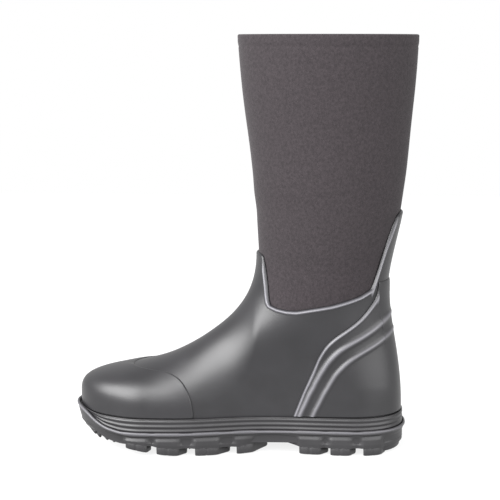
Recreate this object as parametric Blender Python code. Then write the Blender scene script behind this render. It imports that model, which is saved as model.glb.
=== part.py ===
"""Neoprene rubber boot for the right foot, standing on its sole.

Metres, +Z up. The toe points to -X, the inner side of the foot is -Y, and the origin is on the floor
under the middle of the boot. The sock, the galosh, the toe cap and the heel counter are all laid at
their own distance from one surface, the outside of the neoprene sock, given by surface(u, v).
"""

import bmesh
import bpy
import numpy as np

MM = 0.001

# Overall sizes. The tables further down are drawn for the DRAWN sizes and stretched to these.
LENGTH = 0.314
BALL_WIDTH = 0.116
HEIGHT = 0.385
DRAWN_LENGTH, DRAWN_BALL_WIDTH, DRAWN_HEIGHT = 0.314, 0.116, 0.385

# Walls and clearances
GAP = 0.0003
NEOPRENE_WALL = 0.005
GALOSH_WALL = 0.0022
TOE_CAP_WALL = 0.0018
COUNTER_WALL = 0.0016
BAND_WALL = 0.0025
RAND_WALL = 0.0025
BUMPER_EXTRA = 0.0005
INSOLE_THICKNESS = 0.004
OUTSOLE_PLATE = 0.0045

# Distances from the sock's outside, each built on the one before
GALOSH_IN = GAP
GALOSH_OUT = GALOSH_IN + GALOSH_WALL
OVERLAY_IN = GALOSH_OUT + GAP
BAND_IN = GALOSH_OUT + GAP
BAND_OUT = BAND_IN + BAND_WALL
RAND_IN = BAND_OUT + GAP
RAND_OUT = RAND_IN + RAND_WALL

# The last: where the toe and heel end, and how far back the toe's round runs
NOSE = 8.6 * MM
NOSE_ROUND = 62 * MM
HEEL_ROUND = 46 * MM
SHAFT_BASE = 190 * MM  # above this the shaft stretches with HEIGHT

# Columns round the upper, as shares from the front (0) to the back (1) of each side, closest together
# where the strips' edges run
COLUMNS = np.array(
    [0, 0.05, 0.1, 0.14, 0.165, 0.19, 0.215, 0.25, 0.31, 0.38]
    + [0.46, 0.55, 0.64, 0.72, 0.785, 0.815, 0.845, 0.88, 0.935, 1]
)
# Rows up the upper, as distances in mm along its front, from the sole to the collar
ROWS = [0, 9, 18, 26, 33, 39, 46, 56, 68, 81, 95, 110, 126, 142, 158, 173, 188, 203]
ROWS += [219, 237, 256, 278, 306, 342, 390, 440]

# Front outline of the sock, side view: distance behind the toe, height
FRONT = [(0, 67.1), (10, 68.1), (20, 69.3), (32, 70.5), (46, 71.7), (59, 74.1), (74, 77.4), (86, 81)]
FRONT += [(99, 86.4), (117.5, 96.5), (130.4, 105.4), (142.2, 114.4), (151.6, 123), (159.1, 132)]
FRONT += [(165.1, 140.8), (169.8, 151.2), (173, 161.5), (174.7, 172.5), (175.3, 182.5), (174.4, 195.3)]
FRONT += [(173.2, 211.5), (171.4, 234.6), (169.3, 257.2), (166.9, 276.8), (165, 290.6), (161.9, 313.2)]
FRONT += [(159, 337.8), (156.7, 362.3), (155.6, 377.1), (154.5, 391.8)]
# Back outline: height, distance behind the toe
BACK = [(0, 306.3), (42.9, 306.3), (55.7, 305.8), (67.5, 304.8), (82.3, 303), (96.3, 300.7)]
BACK += [(113.6, 297.6), (130.9, 294.9), (145.1, 293.7), (156.6, 293.9), (167.8, 294.9), (175.6, 296.3)]
BACK += [(189, 299), (200.2, 301.5), (216.9, 305.2), (227.7, 307.2), (240.1, 308.9), (262.7, 311.5)]
BACK += [(290.2, 313.9), (313.2, 315.9), (337.8, 318), (362.3, 319.6), (377.1, 320.2), (391.8, 321)]
# Half-breadths of the foot at its widest, outer and inner side, along the foot
OUTER = [(0, 41), (40, 44.5), (80, 47), (120, 49.5), (140, 49), (170, 45), (205, 41), (240, 38.7)]
OUTER += [(275, 38), (330, 37)]
INNER = [(0, 43), (40, 47), (60, 50), (90, 51), (115, 48.5), (140, 43), (165, 37.5), (185, 35.5)]
INNER += [(205, 35.5), (230, 37), (255, 38), (280, 38), (330, 37)]
# Half-breadth of the ankle and shaft by height
SHAFT = [(0, 37), (58, 38), (98, 40), (148, 44), (198, 48.5), (238, 52), (295, 56), (343, 59)]
SHAFT += [(398, 61.5)]
# How deep the vamp's dome runs below its ridge, and how square it is
DOME = [(0, 25.5), (46, 29.5), (74, 35), (100, 44), (117, 51), (142, 60), (165, 64), (330, 64)]
SQUARE = [(0, 7), (30, 5.2), (50, 3.6), (80, 2.4), (110, 2.0), (150, 1.8), (330, 1.8)]
# Which height at the back each height at the front is joined to
TILT = [(0, 0), (43, 43), (63, 58), (74.5, 72), (87, 91), (106.5, 118), (124, 148), (142.6, 170)]
TILT += [(163.6, 190), (185, 204), (214.5, 224), (238, 242), (260, 260), (418, 418)]
# The floor the foot stands on, along the foot
FLOOR = [(0, 27), (20, 24.7), (45, 21.7), (80, 18.9), (120, 17.9), (160, 20), (200, 24.5), (240, 28)]
FLOOR += [(330, 29.5)]
# Heights along the foot: top of the band, top of the outsole's rand, tread's underside, tread's depth,
# lift of the arch
BAND_TOP = [(0, 38.6), (10, 38), (25, 35.8), (60, 35.3), (200, 35.6), (330, 36.5)]
RAND_TOP = [(0, 40.8), (7, 39.9), (15, 36.3), (24, 30.3), (34, 25.8), (48, 23.3), (62, 22.9)]
RAND_TOP += [(200, 23.8), (330, 24.8)]
SPRING = [(0, 15), (15, 12.4), (30, 9.8), (49, 6.6), (72, 3), (88, 1), (100, 0), (330, 0)]
DEPTH = [(0, 5), (25, 5.5), (50, 7.6), (70, 8), (330, 8)]
ARCH = [(0, 0), (160, 0), (180, 3.5), (196, 4), (214, 0), (330, 0)]
# Galosh top by share of the way from front to back of a side
GALOSH_TOP = [(0, 186), (0.1, 185.6), (0.14, 184), (0.163, 176), (0.195, 162), (0.225, 148.5)]
GALOSH_TOP += [(0.245, 142.5), (0.27, 139), (0.31, 136.6), (0.36, 135.8), (0.43, 136.2), (0.5, 137.6)]
GALOSH_TOP += [(0.582, 140.7), (0.662, 145.3), (0.73, 150.5), (0.795, 157), (0.815, 168), (0.842, 187)]
GALOSH_TOP += [(0.87, 206), (0.893, 218), (0.915, 223.5), (0.95, 225.3), (1, 225.8)]
# Rear edge of the toe cap: angle round the foot from the ridge in degrees, distance behind the toe
CAP_EDGE = [(0, 56), (15, 58.5), (29, 65), (41, 76), (49.6, 86.5), (55.4, 94.5), (60.8, 102), (67.7, 108.5)]
CAP_EDGE += [(75, 113), (84, 116.5), (95, 118.5), (120, 119)]
# Front edge of the heel counter: height, distance behind the toe
COUNTER_EDGE = [(34, 194), (58, 205), (78, 215), (97, 228), (107, 240), (116, 250), (126.6, 262.5)]
COUNTER_EDGE += [(140, 275.5), (150, 280.5), (164, 283)]
COUNTER_TOP = 163 * MM

# Tread blocks at the edge: side (1 outer), start and end on the edge as distances behind the toe, then
# the other corners as distances behind the toe and to the outer side
EDGE_LUGS = [
    (1, 36.5, 52.5, [(49, 25.5), (62.5, 6.5), (51, 3), (38.5, 11.5), (33.5, 20)]),
    (1, 67, 91.5, [(83.5, 34.5), (95, 15.5), (87.5, 9), (71, 21), (62.5, 29.5)]),
    (1, 108.5, 134, [(123, 39), (132.5, 21), (121.5, 15.5), (110, 24.5), (99.5, 36.5)]),
    (1, 147.5, 169, [(160.5, 41.5), (168, 27), (157, 23), (148, 28.5), (138, 40.5)]),
    (-1, 54, 75, [(77, -44), (66.5, -29), (52, -28), (59, -37.5)]),
    (-1, 83, 104, [(111, -43), (98.5, -27.5), (78, -30.5), (88, -45.5)]),
    (-1, 118.5, 140.5, [(150.5, -35), (142.5, -22), (121.5, -27), (126.5, -41.5)]),
    (-1, 156.5, 173, [(184.5, -14.5), (173.5, -5), (158.5, -11.5), (165.5, -27)]),
    (1, 214.5, 233, [(243.5, 30), (244.5, 18), (228.5, 11.5), (228, 27)]),
    (1, 244.5, 262.5, [(269.5, 30.5), (264.5, 15.5), (249, 15), (252, 30)]),
    (1, 275.5, 291, [(295.5, 29), (289, 16.5), (272.5, 14.5), (279.5, 30)]),
    (-1, 214.5, 235, [(242.5, -31.5), (237, -13.5), (226.5, -12.5), (228.5, -30)]),
    (-1, 243.5, 262.5, [(268, -33), (263, -16.5), (249, -16.5), (252.5, -33)]),
    (-1, 274, 291.5, [(295.5, -26.5), (287, -16), (274, -16.5), (279.5, -31)]),
]
# Tread blocks away from the edge, as corners
INNER_LUGS = [
    [(60, -3.5), (70, -2.5), (87.5, -19), (73, -22.5)],
    [(94, 4.5), (104.5, 8), (131, -16.5), (116, -20)],
    [(133.5, 11.5), (139.5, 14.5), (168, 1), (153, -8)],
    [(243.5, 8.5), (254.5, 9.5), (253, -0.5), (256, -10), (244.5, -10), (240.5, -1)],
    [(270.5, 10.5), (286, 9), (293, 0.5), (286, -8.5), (270.5, -10), (268.5, -0.5)],
]

stretch_x = LENGTH / DRAWN_LENGTH
stretch_y = BALL_WIDTH / DRAWN_BALL_WIDTH
stretch_shaft = (HEIGHT - SHAFT_BASE) / (DRAWN_HEIGHT - SHAFT_BASE)


def softened(values, soft, step):
    """Values at even steps, smoothed by a bell curve of width soft, straight on past both ends."""
    count = int(4 * soft / step)
    before = values[0] + (values[1] - values[0]) * np.arange(-count, 0)
    after = values[-1] + (values[-1] - values[-2]) * np.arange(1, count + 1)
    bell = np.exp(-0.5 * (np.arange(-count, count + 1) * step / soft) ** 2)
    return np.convolve(np.concatenate([before, values, after]), bell / bell.sum(), "valid")


def drawn(points, scale_x=1.0, scale_y=1.0, soft=6.0, step=0.5):
    """A smooth function through a table in mm, taking and giving metres."""
    x, y = np.array(points, float).T
    grid = np.arange(x[0], x[-1] + step / 2, step)
    line = softened(np.interp(grid, x, y), soft, step)
    return lambda q: scale_y * MM * np.interp(q / (scale_x * MM), grid, line)


def shares(points, soft=6.0):
    """The same for a table of plain numbers along the foot."""
    line = drawn(points, stretch_x, 1.0, soft)
    return lambda s: line(s) / MM


def smoothstep(x, low, high):
    t = np.clip((x - low) / (high - low), 0, 1)
    return t * t * (3 - 2 * t)


def drawn_height(z):
    """The height on the drawn boot that a height on this one matches."""
    return np.where(z < SHAFT_BASE, z, SHAFT_BASE + (z - SHAFT_BASE) / stretch_shaft)


def true_height(z):
    return np.where(z < SHAFT_BASE, z, SHAFT_BASE + (z - SHAFT_BASE) * stretch_shaft)


def front_path():
    """The front outline at even steps, smoothed along its own length."""
    points = np.array(FRONT, float)
    along = np.append(0, np.cumsum(np.hypot(*np.diff(points, axis=0).T)))
    steps = np.arange(0, along[-1], 0.1)
    s = softened(np.interp(steps, along, points[:, 0]), 7.0, 0.1)
    z = softened(np.interp(steps, along, points[:, 1]), 7.0, 0.1)
    return s * stretch_x * MM, true_height(z * MM)


front_s, front_z = front_path()
steep = np.searchsorted(front_z, 165 * MM)
back_of = drawn(BACK, 1.0, stretch_x)
outer_of = drawn(OUTER, stretch_x, stretch_y, 9.0)
inner_of = drawn(INNER, stretch_x, stretch_y, 9.0)
shaft_of = drawn(SHAFT, 1.0, stretch_y, 12.0)
dome_of = drawn(DOME, stretch_x, 1.0, 9.0)
square_of = shares(SQUARE, 9.0)
tilt_of = drawn(TILT, 1.0, 1.0, 5.0)
floor_of = drawn(FLOOR, stretch_x, 1.0, 10.0)
band_top_of = drawn(BAND_TOP, stretch_x, 1.0, 4.0)
rand_top_of = drawn(RAND_TOP, stretch_x, 1.0, 3.0)
spring_of = drawn(SPRING, stretch_x, 1.0, 5.0)
depth_of = drawn(DEPTH, stretch_x, 1.0, 5.0)
arch_of = drawn(ARCH, stretch_x, 1.0, 5.0)
nose = NOSE * stretch_x
nose_round = NOSE_ROUND * stretch_x


def ridge(s):
    """Height of the vamp's ridge, carried on steeply behind the shaft's front."""
    height = np.interp(s, front_s[:steep], front_z[:steep])
    return height + 3.5 * np.clip(s - front_s[steep - 1], 0, None)


def back(z):
    return back_of(drawn_height(z))


def half_breadth(s, z, side):
    """Half-breadth at a point of the side view: width x front round x back round.

    Low down the front round is sqrt(1 - A^2.1 - C^n), with A rising to 1 at the nose and C to 1 at the
    ridge; on the shaft it is half an ellipse, and the two mix between the toes and the ankle.
    """
    foot = np.where(side > 0, outer_of(s), inner_of(s))
    ankle = smoothstep(z, 50 * MM, 130 * MM)
    width = foot + (shaft_of(drawn_height(z)) - foot) * ankle
    toe = np.clip(1 - (s - nose) / nose_round, 0, 1)
    top = np.clip(1 - (ridge(s) - z) / dome_of(s), 0, 1)
    low = np.sqrt(np.clip(1 - toe**2.1 - top ** square_of(s), 0, 1))
    shaft_front = np.interp(z, front_z, front_s)
    half = (back(z) - shaft_front) / 2
    high = np.sqrt(np.clip(1 - np.clip(1 - (s - shaft_front) / half, 0, 1) ** 2, 0, 1))
    mix = smoothstep(z, 88 * MM, 150 * MM)
    reach = HEEL_ROUND + (half - HEEL_ROUND) * smoothstep(z, 60 * MM, 150 * MM)
    power = 2.3 - 0.3 * ankle
    rear = np.clip(1 - (back(z) - s) / reach, 0, 1)
    rear = np.clip(1 - rear**power, 0, 1) ** (1 / power)
    return width * (low + (high - low) * mix) * rear


def silhouette():
    """The front outline of the finished surface: up the nose, round onto the ridge, up the shaft."""
    wall = np.linspace(floor_of(nose) + GAP, ridge(nose) - dome_of(nose), 200)
    s = nose + (110 * MM * stretch_x - nose) * np.linspace(0, 1, 4000) ** 2
    toe = np.clip(1 - (s - nose) / nose_round, 0, 1)
    z = ridge(s) - dome_of(s) * (1 - np.clip(1 - toe**2.1, 0, 1) ** (1 / square_of(s)))
    rest = (front_s > s[-1]) | (front_z > 160 * MM)
    rest &= front_z < HEIGHT
    s = np.concatenate([np.full(200, nose), s, front_s[rest]])
    z = np.concatenate([wall, z, front_z[rest]])
    s = np.append(s, np.interp(HEIGHT, front_z, front_s))
    return s, np.append(z, HEIGHT)


outline_s, outline_z = silhouette()
outline_run = np.append(0, np.cumsum(np.hypot(np.diff(outline_s), np.diff(outline_z))))


def side_view(u, v):
    """Distance behind the toe and height, for u round the boot and v up its front outline."""
    share = np.where(u % 1 < 0.5, 2 * (u % 1), 2 - 2 * (u % 1))
    share = (1 - np.cos(np.pi * share)) / 2
    run = np.clip(v, 0, 1) * outline_run[-1]
    front = np.interp(run, outline_run, outline_s)
    low = np.interp(run, outline_run, outline_z)
    high = true_height(tilt_of(drawn_height(low)))
    high = high + (floor_of(back(0.0)) + GAP - high) * (1 - smoothstep(low, outline_z[0], 45 * MM))
    s = front + share * (back(high) - front)
    chord = floor_of(nose) + (floor_of(back(0.0)) - floor_of(nose)) * (s - nose) / (back(0.0) - nose)
    sag = (floor_of(s) - chord) * (1 - smoothstep(low, outline_z[0], 62 * MM))
    return s, low + share * (high - low) + sag, share


def surface(u, v):
    """Points of the sock's outside. u runs 0 to 1 from the front round the outer side and back."""
    u, v = np.broadcast_arrays(u, v)
    side = np.where(u % 1 <= 0.5, 1, -1)
    s, z, share = side_view(u, v)
    y = side * half_breadth(s, z, side) * ((share > 1e-9) & (share < 1 - 1e-9))
    y = y - 3 * MM * (1 - smoothstep(s, nose, 90 * MM))
    return np.stack([s, y, z], -1)


def laid(u, v, distance):
    """Points at a distance outside the sock, along its normal, which turns level near the sole."""
    across = surface(u + 0.004, v) - surface(u - 0.004, v)
    up = surface(u, np.minimum(v + 0.003, 1)) - surface(u, np.maximum(v - 0.003, 0))
    up[..., 2] += 4 * MM * (1 - smoothstep(v * outline_run[-1], 0, 25 * MM))
    normal = np.cross(up, across)
    normal /= np.linalg.norm(normal, axis=-1, keepdims=True)
    return surface(u, v) + distance * normal


def round_from(columns):
    """Both sides' columns as one trip round the boot, the front and back points taken once."""
    return np.concatenate([columns / 2, 1 - columns[-2:0:-1] / 2])


def footprint(u, distance):
    """The sock's outline where it meets the sole, spread outwards in plan."""
    u = np.asarray(u, float)
    near = surface(np.stack([u - 0.004, u, u + 0.004]), 0.0)[..., :2]
    along = near[2] - near[0]
    normal = np.stack([-along[:, 1], along[:, 0]], -1)
    normal /= np.linalg.norm(normal, axis=-1, keepdims=True)
    return near[1] + distance * normal


def loop(u, distance, height):
    """A loop round the sole: height is a function of the distance behind the toe."""
    plan = footprint(u, distance)
    return np.column_stack([plan, height(plan[:, 0])])


def material(name, colour, roughness):
    made = bpy.data.materials.new(name)
    made.use_nodes = True
    shader = made.node_tree.nodes["Principled BSDF"]
    shader.inputs["Base Color"].default_value = (*colour, 1)
    shader.inputs["Roughness"].default_value = roughness
    shader.inputs["Metallic"].default_value = 0
    made.diffuse_color = (*colour, 1)
    return made


def solid(name, points, faces, home, look):
    """A closed mesh in world axes: the toe goes to -X and the middle of the boot to the origin."""
    mesh = bpy.data.meshes.new(name)
    mesh.from_pydata((np.asarray(points) - [middle_x, middle_y, 0]).tolist(), [], faces)
    tidy = bmesh.new()
    tidy.from_mesh(mesh)
    bmesh.ops.remove_doubles(tidy, verts=tidy.verts, dist=1e-6)
    bmesh.ops.dissolve_degenerate(tidy, edges=tidy.edges, dist=1e-6)
    bmesh.ops.recalc_face_normals(tidy, faces=tidy.faces)
    tidy.to_mesh(mesh)
    tidy.free()
    made = bpy.data.objects.new(name, mesh)
    mesh.materials.append(look)
    home.objects.link(made)
    return made


def bridged(count, first, second):
    """Triangles between two loops of points that start at first and second."""
    here = np.arange(count)
    after = (here + 1) % count
    one = np.stack([first + here, first + after, second + after], -1)
    other = np.stack([first + here, second + after, second + here], -1)
    return one.tolist() + other.tolist()


def rungs(count, first):
    """Faces across a loop, from each point of one side to its partner on the other."""
    half = count // 2
    faces = [[first, first + 1, first + count - 1]]
    for i in range(1, half - 1):
        faces.append([first + i, first + i + 1, first + count - i - 1, first + count - i])
    return faces + [[first + half - 1, first + half, first + half + 1]]


def from_loops(name, loops, home, look, capped):
    """A solid from loops, either a closed tube wall or a form capped at the first and last loop."""
    count = len(loops[0])
    faces = []
    for i in range(len(loops) - 1):
        faces += bridged(count, i * count, (i + 1) * count)
    if capped:
        faces += rungs(count, 0) + rungs(count, (len(loops) - 1) * count)
    else:
        faces += bridged(count, (len(loops) - 1) * count, 0)
    return solid(name, np.concatenate(loops), faces, home, look)


def from_field(name, inside, outside, field, home, look):
    """A wall between two sheets of points, rows by columns round the boot, kept where field is above 0.

    Each triangle is trimmed along the line where the field crosses 0, so that a piece laid over another
    keeps to the same facets, and the trimmed edge is closed from the inner sheet to the outer one.
    """
    rows, columns = field.shape
    made = {}
    ends = []
    faces = []

    def corner(a, b):
        key = tuple(sorted((a, b)))
        if key not in made:
            share = 0 if a == b else field[key[0]] / (field[key[0]] - field[key[1]])
            made[key] = len(made)
            ends.append([sheet[key[0]] + share * (sheet[key[1]] - sheet[key[0]]) for sheet in (inside, outside)])
        return made[key]

    for row in range(rows - 1):
        for column in range(columns):
            beside = (column + 1) % columns
            for far in ((row, beside), (row + 1, column)):
                half = [(row, column), far, (row + 1, beside)]
                half = half if far[0] == row else [half[0], half[2], half[1]]
                face = []
                for a, b in zip(half, half[1:] + half[:1]):
                    if field[a] > 0:
                        face.append(corner(a, a))
                    if (field[a] > 0) != (field[b] > 0):
                        face.append(corner(a, b))
                if len(face) > 2:
                    faces.append(face)
    edges = {(a, b) for face in faces for a, b in zip(face, face[1:] + face[:1])}
    rim = [(a, b) for a, b in edges if (b, a) not in edges]
    count = len(ends)
    points = np.array(ends)
    faces = faces + [[i + count for i in face[::-1]] for face in faces]
    faces += [[b, a, a + count, b + count] for a, b in rim]
    return solid(name, np.concatenate([points[:, 0], points[:, 1]]), faces, home, look)


# The scene
for old in list(bpy.data.objects):
    bpy.data.objects.remove(old, do_unlink=True)
boot = bpy.data.collections.new("neoprene_rubber_boot")
cutters = bpy.data.collections.new("tread_blocks")
cutters.hide_render = True
for collection in (boot, cutters):
    bpy.context.scene.collection.children.link(collection)

around = round_from(COLUMNS)
rows = np.minimum(np.array(ROWS) * MM / outline_run[-1], 1)
rows[-1] = 1
reach = surface(np.linspace(0, 1, 400, endpoint=False), 1.0)
sole_edge = footprint(np.linspace(0, 1, 400, endpoint=False), RAND_OUT)
middle_x = (sole_edge[:, 0].min() - BUMPER_EXTRA + reach[:, 0].max()) / 2
middle_y = (min(sole_edge[:, 1].min(), reach[:, 1].min()) + max(sole_edge[:, 1].max(), reach[:, 1].max())) / 2

# Neoprene sock: the whole boot's inner wall, from the sole to the collar, open at both ends
grid_u, grid_v = np.meshgrid(around, rows)
sock = surface(grid_u, grid_v)
lining = laid(grid_u, grid_v, -NEOPRENE_WALL)
lining[[0, -1], :, 2] = sock[[0, -1], :, 2]
sock_look = material("neoprene_sock", (0.045, 0.038, 0.042), 0.85)
from_loops("neoprene_sock", list(lining[::-1]) + list(sock), boot, sock_look, False)


def over(distance):
    """The upper's grid of points at a distance outside the sock, its lowest row a gap above the floor."""
    sheet = laid(grid_u, grid_v, distance)
    sheet[0, :, 2] = floor_of(sheet[0, :, 0]) + GAP
    return sheet


side_s, side_z, _ = side_view(grid_u, grid_v)
share = np.minimum(grid_u, 1 - grid_u) * 2

# Rubber galosh over the foot, with a strip up the shin and one up the back
table = np.array(GALOSH_TOP)
field = true_height(np.interp(share, table[:, 0], table[:, 1]) * MM) - side_z
galosh_look = material("rubber_galosh", (0.02, 0.018, 0.02), 0.42)
from_field("rubber_galosh", over(GALOSH_IN), over(GALOSH_OUT), field, boot, galosh_look)

# Toe cap over the galosh, from just above the band to its curved rear edge
above_band = side_z - band_top_of(side_s) - 1.2 * MM
angle = np.degrees(np.arctan2(np.abs(sock[..., 1]), side_z - 41 * MM))
table = np.array(CAP_EDGE)
field = np.minimum(np.interp(angle, table[:, 0], table[:, 1]) * MM * stretch_x - side_s, above_band)
cap_look = material("toe_cap", (0.018, 0.016, 0.018), 0.38)
cap_in, cap_out = over(OVERLAY_IN), over(OVERLAY_IN + TOE_CAP_WALL)
from_field("toe_cap", cap_in, cap_out, field, boot, cap_look)

# Heel counter over the galosh, round the heel and up to where the rear strip starts
table = np.array(COUNTER_EDGE) * MM
field = side_s - np.interp(side_z, table[:, 0], table[:, 1]) * stretch_x
field = np.minimum(np.minimum(field, COUNTER_TOP - side_z), above_band)
counter_look = material("heel_counter", (0.018, 0.016, 0.018), 0.4)
counter_in, counter_out = over(OVERLAY_IN), over(OVERLAY_IN + COUNTER_WALL)
from_field("heel_counter", counter_in, counter_out, field, boot, counter_look)


def outsole_top(s):
    """Upper face of the outsole's plate: even over the forefoot, thicker under the heel."""
    return spring_of(s) + depth_of(s) + OUTSOLE_PLATE + 3.5 * MM * smoothstep(s, 150 * MM, 215 * MM)


def plate_bottom(s):
    return spring_of(s) + depth_of(s) + arch_of(s)


def toe_share(s):
    """1 at the toe's tip, 0 from a little way back."""
    return 1 - smoothstep(s, 0, 45 * MM)


def wall_foot(s):
    """Height where the rand's wall turns in towards the plate."""
    return plate_bottom(s) + 6 * MM - 2.6 * MM * toe_share(s - nose) - 1.25 * arch_of(s)


def waist(plan):
    """How far the sole's underside draws in at the arch, more on the inner side."""
    inner = 8 * MM * np.exp(-(((plan[:, 0] - 190 * MM * stretch_x) / (19 * MM)) ** 2))
    outer = 3 * MM * np.exp(-(((plan[:, 0] - 198 * MM * stretch_x) / (22 * MM)) ** 2))
    return np.where(plan[:, 1] < 0, inner, outer)


def rand_loop(u, distance, height, tuck, draw):
    """A loop round the outsole: fuller at the toe by the bumper less tuck, drawn in at the arch."""
    plan = footprint(u, 0.0)
    outward = (footprint(u, distance) - plan) / distance
    more = (BUMPER_EXTRA - tuck) * toe_share(plan[:, 0] - nose) - draw * waist(plan)
    plan = plan + outward * (distance + more[:, None])
    return np.column_stack([plan, height(plan[:, 0])])


# Midsole: a tray that the upper stands in, its wall showing as the band round the foot
midsole_look = material("midsole", (0.022, 0.02, 0.022), 0.5)
tray = [
    loop(around, BAND_IN, floor_of),
    loop(around, BAND_IN, band_top_of),
    loop(around, BAND_OUT - 0.5 * MM, band_top_of),
    loop(around, BAND_OUT, lambda s: band_top_of(s) - 0.6 * MM),
    loop(around, BAND_OUT, lambda s: outsole_top(s) + GAP),
]
from_loops("midsole", tray, boot, midsole_look, True)

# Insole, lying in the sock
insole_look = material("insole", (0.05, 0.05, 0.055), 0.9)
bed = [
    loop(around, -NEOPRENE_WALL - GAP, lambda s: floor_of(s) + GAP),
    loop(around, -NEOPRENE_WALL - GAP, lambda s: floor_of(s) + GAP + INSOLE_THICKNESS * 0.8),
    loop(around, -NEOPRENE_WALL - GAP - 1 * MM, lambda s: floor_of(s) + GAP + INSOLE_THICKNESS),
]
from_loops("insole", bed, boot, insole_look, True)

# Outsole: plate, rand and toe bumper in one, with the tread blocks joined under it
outsole_look = material("outsole", (0.025, 0.024, 0.026), 0.55)
tread_in = 2.2 * MM
hull = [
    loop(around, RAND_IN, outsole_top),
    loop(around, RAND_IN, rand_top_of),
    rand_loop(around, RAND_OUT - 0.6 * MM, rand_top_of, 0, 0),
    rand_loop(around, RAND_OUT, lambda s: rand_top_of(s) - 0.8 * MM, 0, 0),
    rand_loop(around, RAND_OUT, wall_foot, 2 * MM, 0.2),
    rand_loop(around, RAND_OUT - tread_in, plate_bottom, 4.5 * MM, 1),
]
outsole = from_loops("outsole", hull, boot, outsole_look, True)
walls = rand_loop(np.linspace(0, 1, 400, endpoint=False), RAND_OUT - tread_in, plate_bottom, 4.5 * MM, 1)


def edge_of(side, s):
    """Where the tread's outer edge lies on one side, at a distance behind the toe."""
    keep = walls[:200] if side > 0 else walls[:200:-1]
    return np.interp(s, keep[:, 0], keep[:, 1])


def block(corners):
    """One tread block: corners in plan, drawn in a little at the ground."""
    corners = np.array(corners)
    middle = corners.mean(axis=0)
    ground = middle + (corners - middle) * 0.9
    low = np.column_stack([ground, spring_of(ground[:, 0])])
    high = np.column_stack([corners, plate_bottom(corners[:, 0]) + 2 * MM])
    count = len(corners)
    return np.concatenate([low, high]), bridged(count, 0, count) + [
        list(range(count - 1, -1, -1)),
        list(range(count, 2 * count)),
    ]


points = []
faces = []
for side, start, end, others in EDGE_LUGS:
    corners = [(s * MM * stretch_x, y * MM * stretch_y) for s, y in others]
    start, end = start * MM * stretch_x, end * MM * stretch_x
    made = block([(start, edge_of(side, start)), (end, edge_of(side, end))] + corners)
    faces += [[i + sum(map(len, points)) for i in face] for face in made[1]]
    points.append(made[0])
for corners in INNER_LUGS:
    made = block([(s * MM * stretch_x, y * MM * stretch_y) for s, y in corners])
    faces += [[i + sum(map(len, points)) for i in face] for face in made[1]]
    points.append(made[0])
blocks = solid("tread_block_forms", np.concatenate(points), faces, cutters, outsole_look)
blocks.display_type = "WIRE"
join = outsole.modifiers.new("tread", "BOOLEAN")
join.operation = "UNION"
join.solver = "EXACT"
join.object = blocks
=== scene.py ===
"""A tall neoprene rubber boot for the right foot, standing empty on its sole.

Shapes are worked out in millimetres on the last: s runs back from the tip of the toe, y to the
outer side of the foot and z up from the floor. The toe points to -X in the scene.
"""

import bpy
import numpy as np
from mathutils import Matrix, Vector, kdtree


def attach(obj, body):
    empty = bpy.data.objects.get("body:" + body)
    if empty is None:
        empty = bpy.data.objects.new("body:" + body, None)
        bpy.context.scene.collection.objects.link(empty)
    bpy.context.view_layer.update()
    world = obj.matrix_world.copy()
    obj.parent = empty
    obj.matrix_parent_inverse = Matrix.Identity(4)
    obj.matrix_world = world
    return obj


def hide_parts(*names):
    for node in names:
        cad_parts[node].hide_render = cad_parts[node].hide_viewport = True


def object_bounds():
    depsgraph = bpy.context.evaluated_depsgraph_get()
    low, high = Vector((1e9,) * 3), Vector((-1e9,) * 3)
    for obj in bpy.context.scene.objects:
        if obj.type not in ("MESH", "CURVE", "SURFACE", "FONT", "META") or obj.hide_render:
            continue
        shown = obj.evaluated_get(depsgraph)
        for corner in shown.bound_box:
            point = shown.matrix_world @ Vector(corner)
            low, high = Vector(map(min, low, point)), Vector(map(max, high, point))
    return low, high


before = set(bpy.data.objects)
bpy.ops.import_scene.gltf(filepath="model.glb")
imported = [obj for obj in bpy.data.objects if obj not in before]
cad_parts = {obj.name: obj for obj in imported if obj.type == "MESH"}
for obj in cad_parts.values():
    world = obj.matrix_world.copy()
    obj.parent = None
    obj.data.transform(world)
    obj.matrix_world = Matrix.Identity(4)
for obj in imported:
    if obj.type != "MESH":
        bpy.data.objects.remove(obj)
cad_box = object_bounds()
toe_tip = cad_box[0].x * 1000

# ---- Neoprene sock ---------------------------------------------------
# The boot's inner wall: 5 mm neoprene foam faced with a brown-grey knit and lined with a smooth
# jersey. It is cut and taped into a sock that runs from the sole to the collar, where its edge is
# turned and sewn.

GAP = 0.3  # between neighbouring pieces, for the glue
WALL = 5.0
TOP = 385.0
NOSE = 8.6
NOSE_ROUND = 62.0
NOSE_POWER = 2.1
HEEL_ROUND = 46.0

# Front outline of the last in side view: distance behind the toe, height
FRONT = [(0, 67.1), (10, 68.1), (20, 69.3), (32, 70.5), (46, 71.7), (59, 74.1), (74, 77.4)]
FRONT += [(86, 81), (99, 86.4), (117.5, 96.5), (130.4, 105.4), (142.2, 114.4), (151.6, 123)]
FRONT += [(159.1, 132), (165.1, 140.8), (169.8, 151.2), (173, 161.5), (174.7, 172.5)]
FRONT += [(175.3, 182.5), (174.4, 195.3), (173.2, 211.5), (171.4, 234.6), (169.3, 257.2)]
FRONT += [(166.9, 276.8), (165, 290.6), (161.9, 313.2), (159, 337.8), (156.7, 362.3)]
FRONT += [(155.6, 377.1), (154.5, 391.8)]
FRONT_STEP = 0.1
FRONT_SOFT = 7.0
RIDGE_TOP = 165  # above this height the front outline is too steep to be a height over s

# How the front outline is stepped: up the nose's wall, then along the vamp to this distance
NOSE_STEPS = 200
VAMP_STEPS = 4000
VAMP_END = 110


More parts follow.
